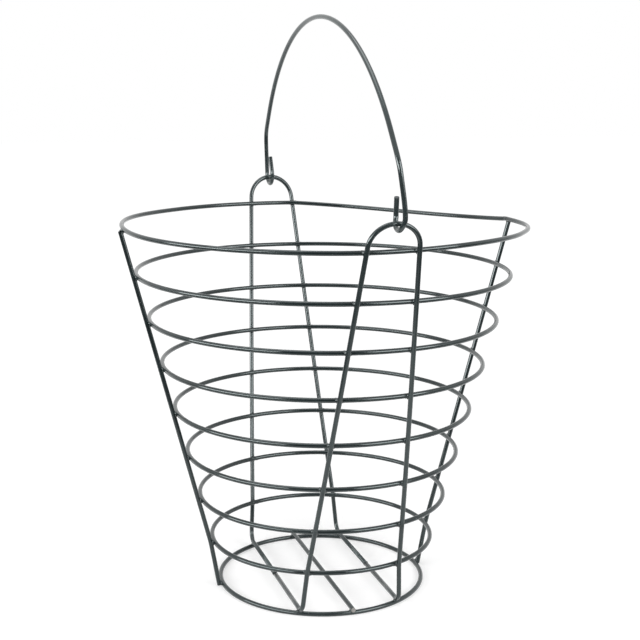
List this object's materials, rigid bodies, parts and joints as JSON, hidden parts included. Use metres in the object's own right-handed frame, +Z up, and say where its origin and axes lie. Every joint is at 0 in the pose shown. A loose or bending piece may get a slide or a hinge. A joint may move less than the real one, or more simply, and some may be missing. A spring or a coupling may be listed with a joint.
{
  "type": "fruit picking basket",
  "caption": "Tapered round wire basket for picking fruit: hoops welded to side ribs and to ear wires that also cross the floor, with a bail handle hooked into the ears to swing to either side.",
  "frame": {"origin": "on the floor under the foot ring, on the axis that all the hoops share", "axes": "+Z up towards the mouth; the ears face +Y (back) and -Y (front); the side ribs face +X (right) and -X (left)"},
  "size_m": [0.3398, 0.3668, 0.4775],
  "materials": {
    "painted_wire": "satin dark green-grey paint over welded round steel wire"
  },
  "bodies": {
    "basket": {"rim_hoop": "painted_wire", "side_hoop_1": "painted_wire", "side_hoop_2": "painted_wire", "side_hoop_3": "painted_wire", "side_hoop_4": "painted_wire", "side_hoop_5": "painted_wire", "side_hoop_6": "painted_wire", "side_hoop_7": "painted_wire", "foot_ring": "painted_wire", "front_ear_wire": "painted_wire", "back_ear_wire": "painted_wire", "right_side_rib": "painted_wire", "left_side_rib": "painted_wire", "middle_floor_wire": "painted_wire"},
    "bail": {"bail_handle": "painted_wire"}
  },
  "joints": [
    {"name": "bail_swing", "type": "hinge", "parent": "basket", "child": "bail", "pos_m": [0, 0, 0.3119], "axis": [0, 1, 0], "range_deg": [-86, 78]}
  ]
}
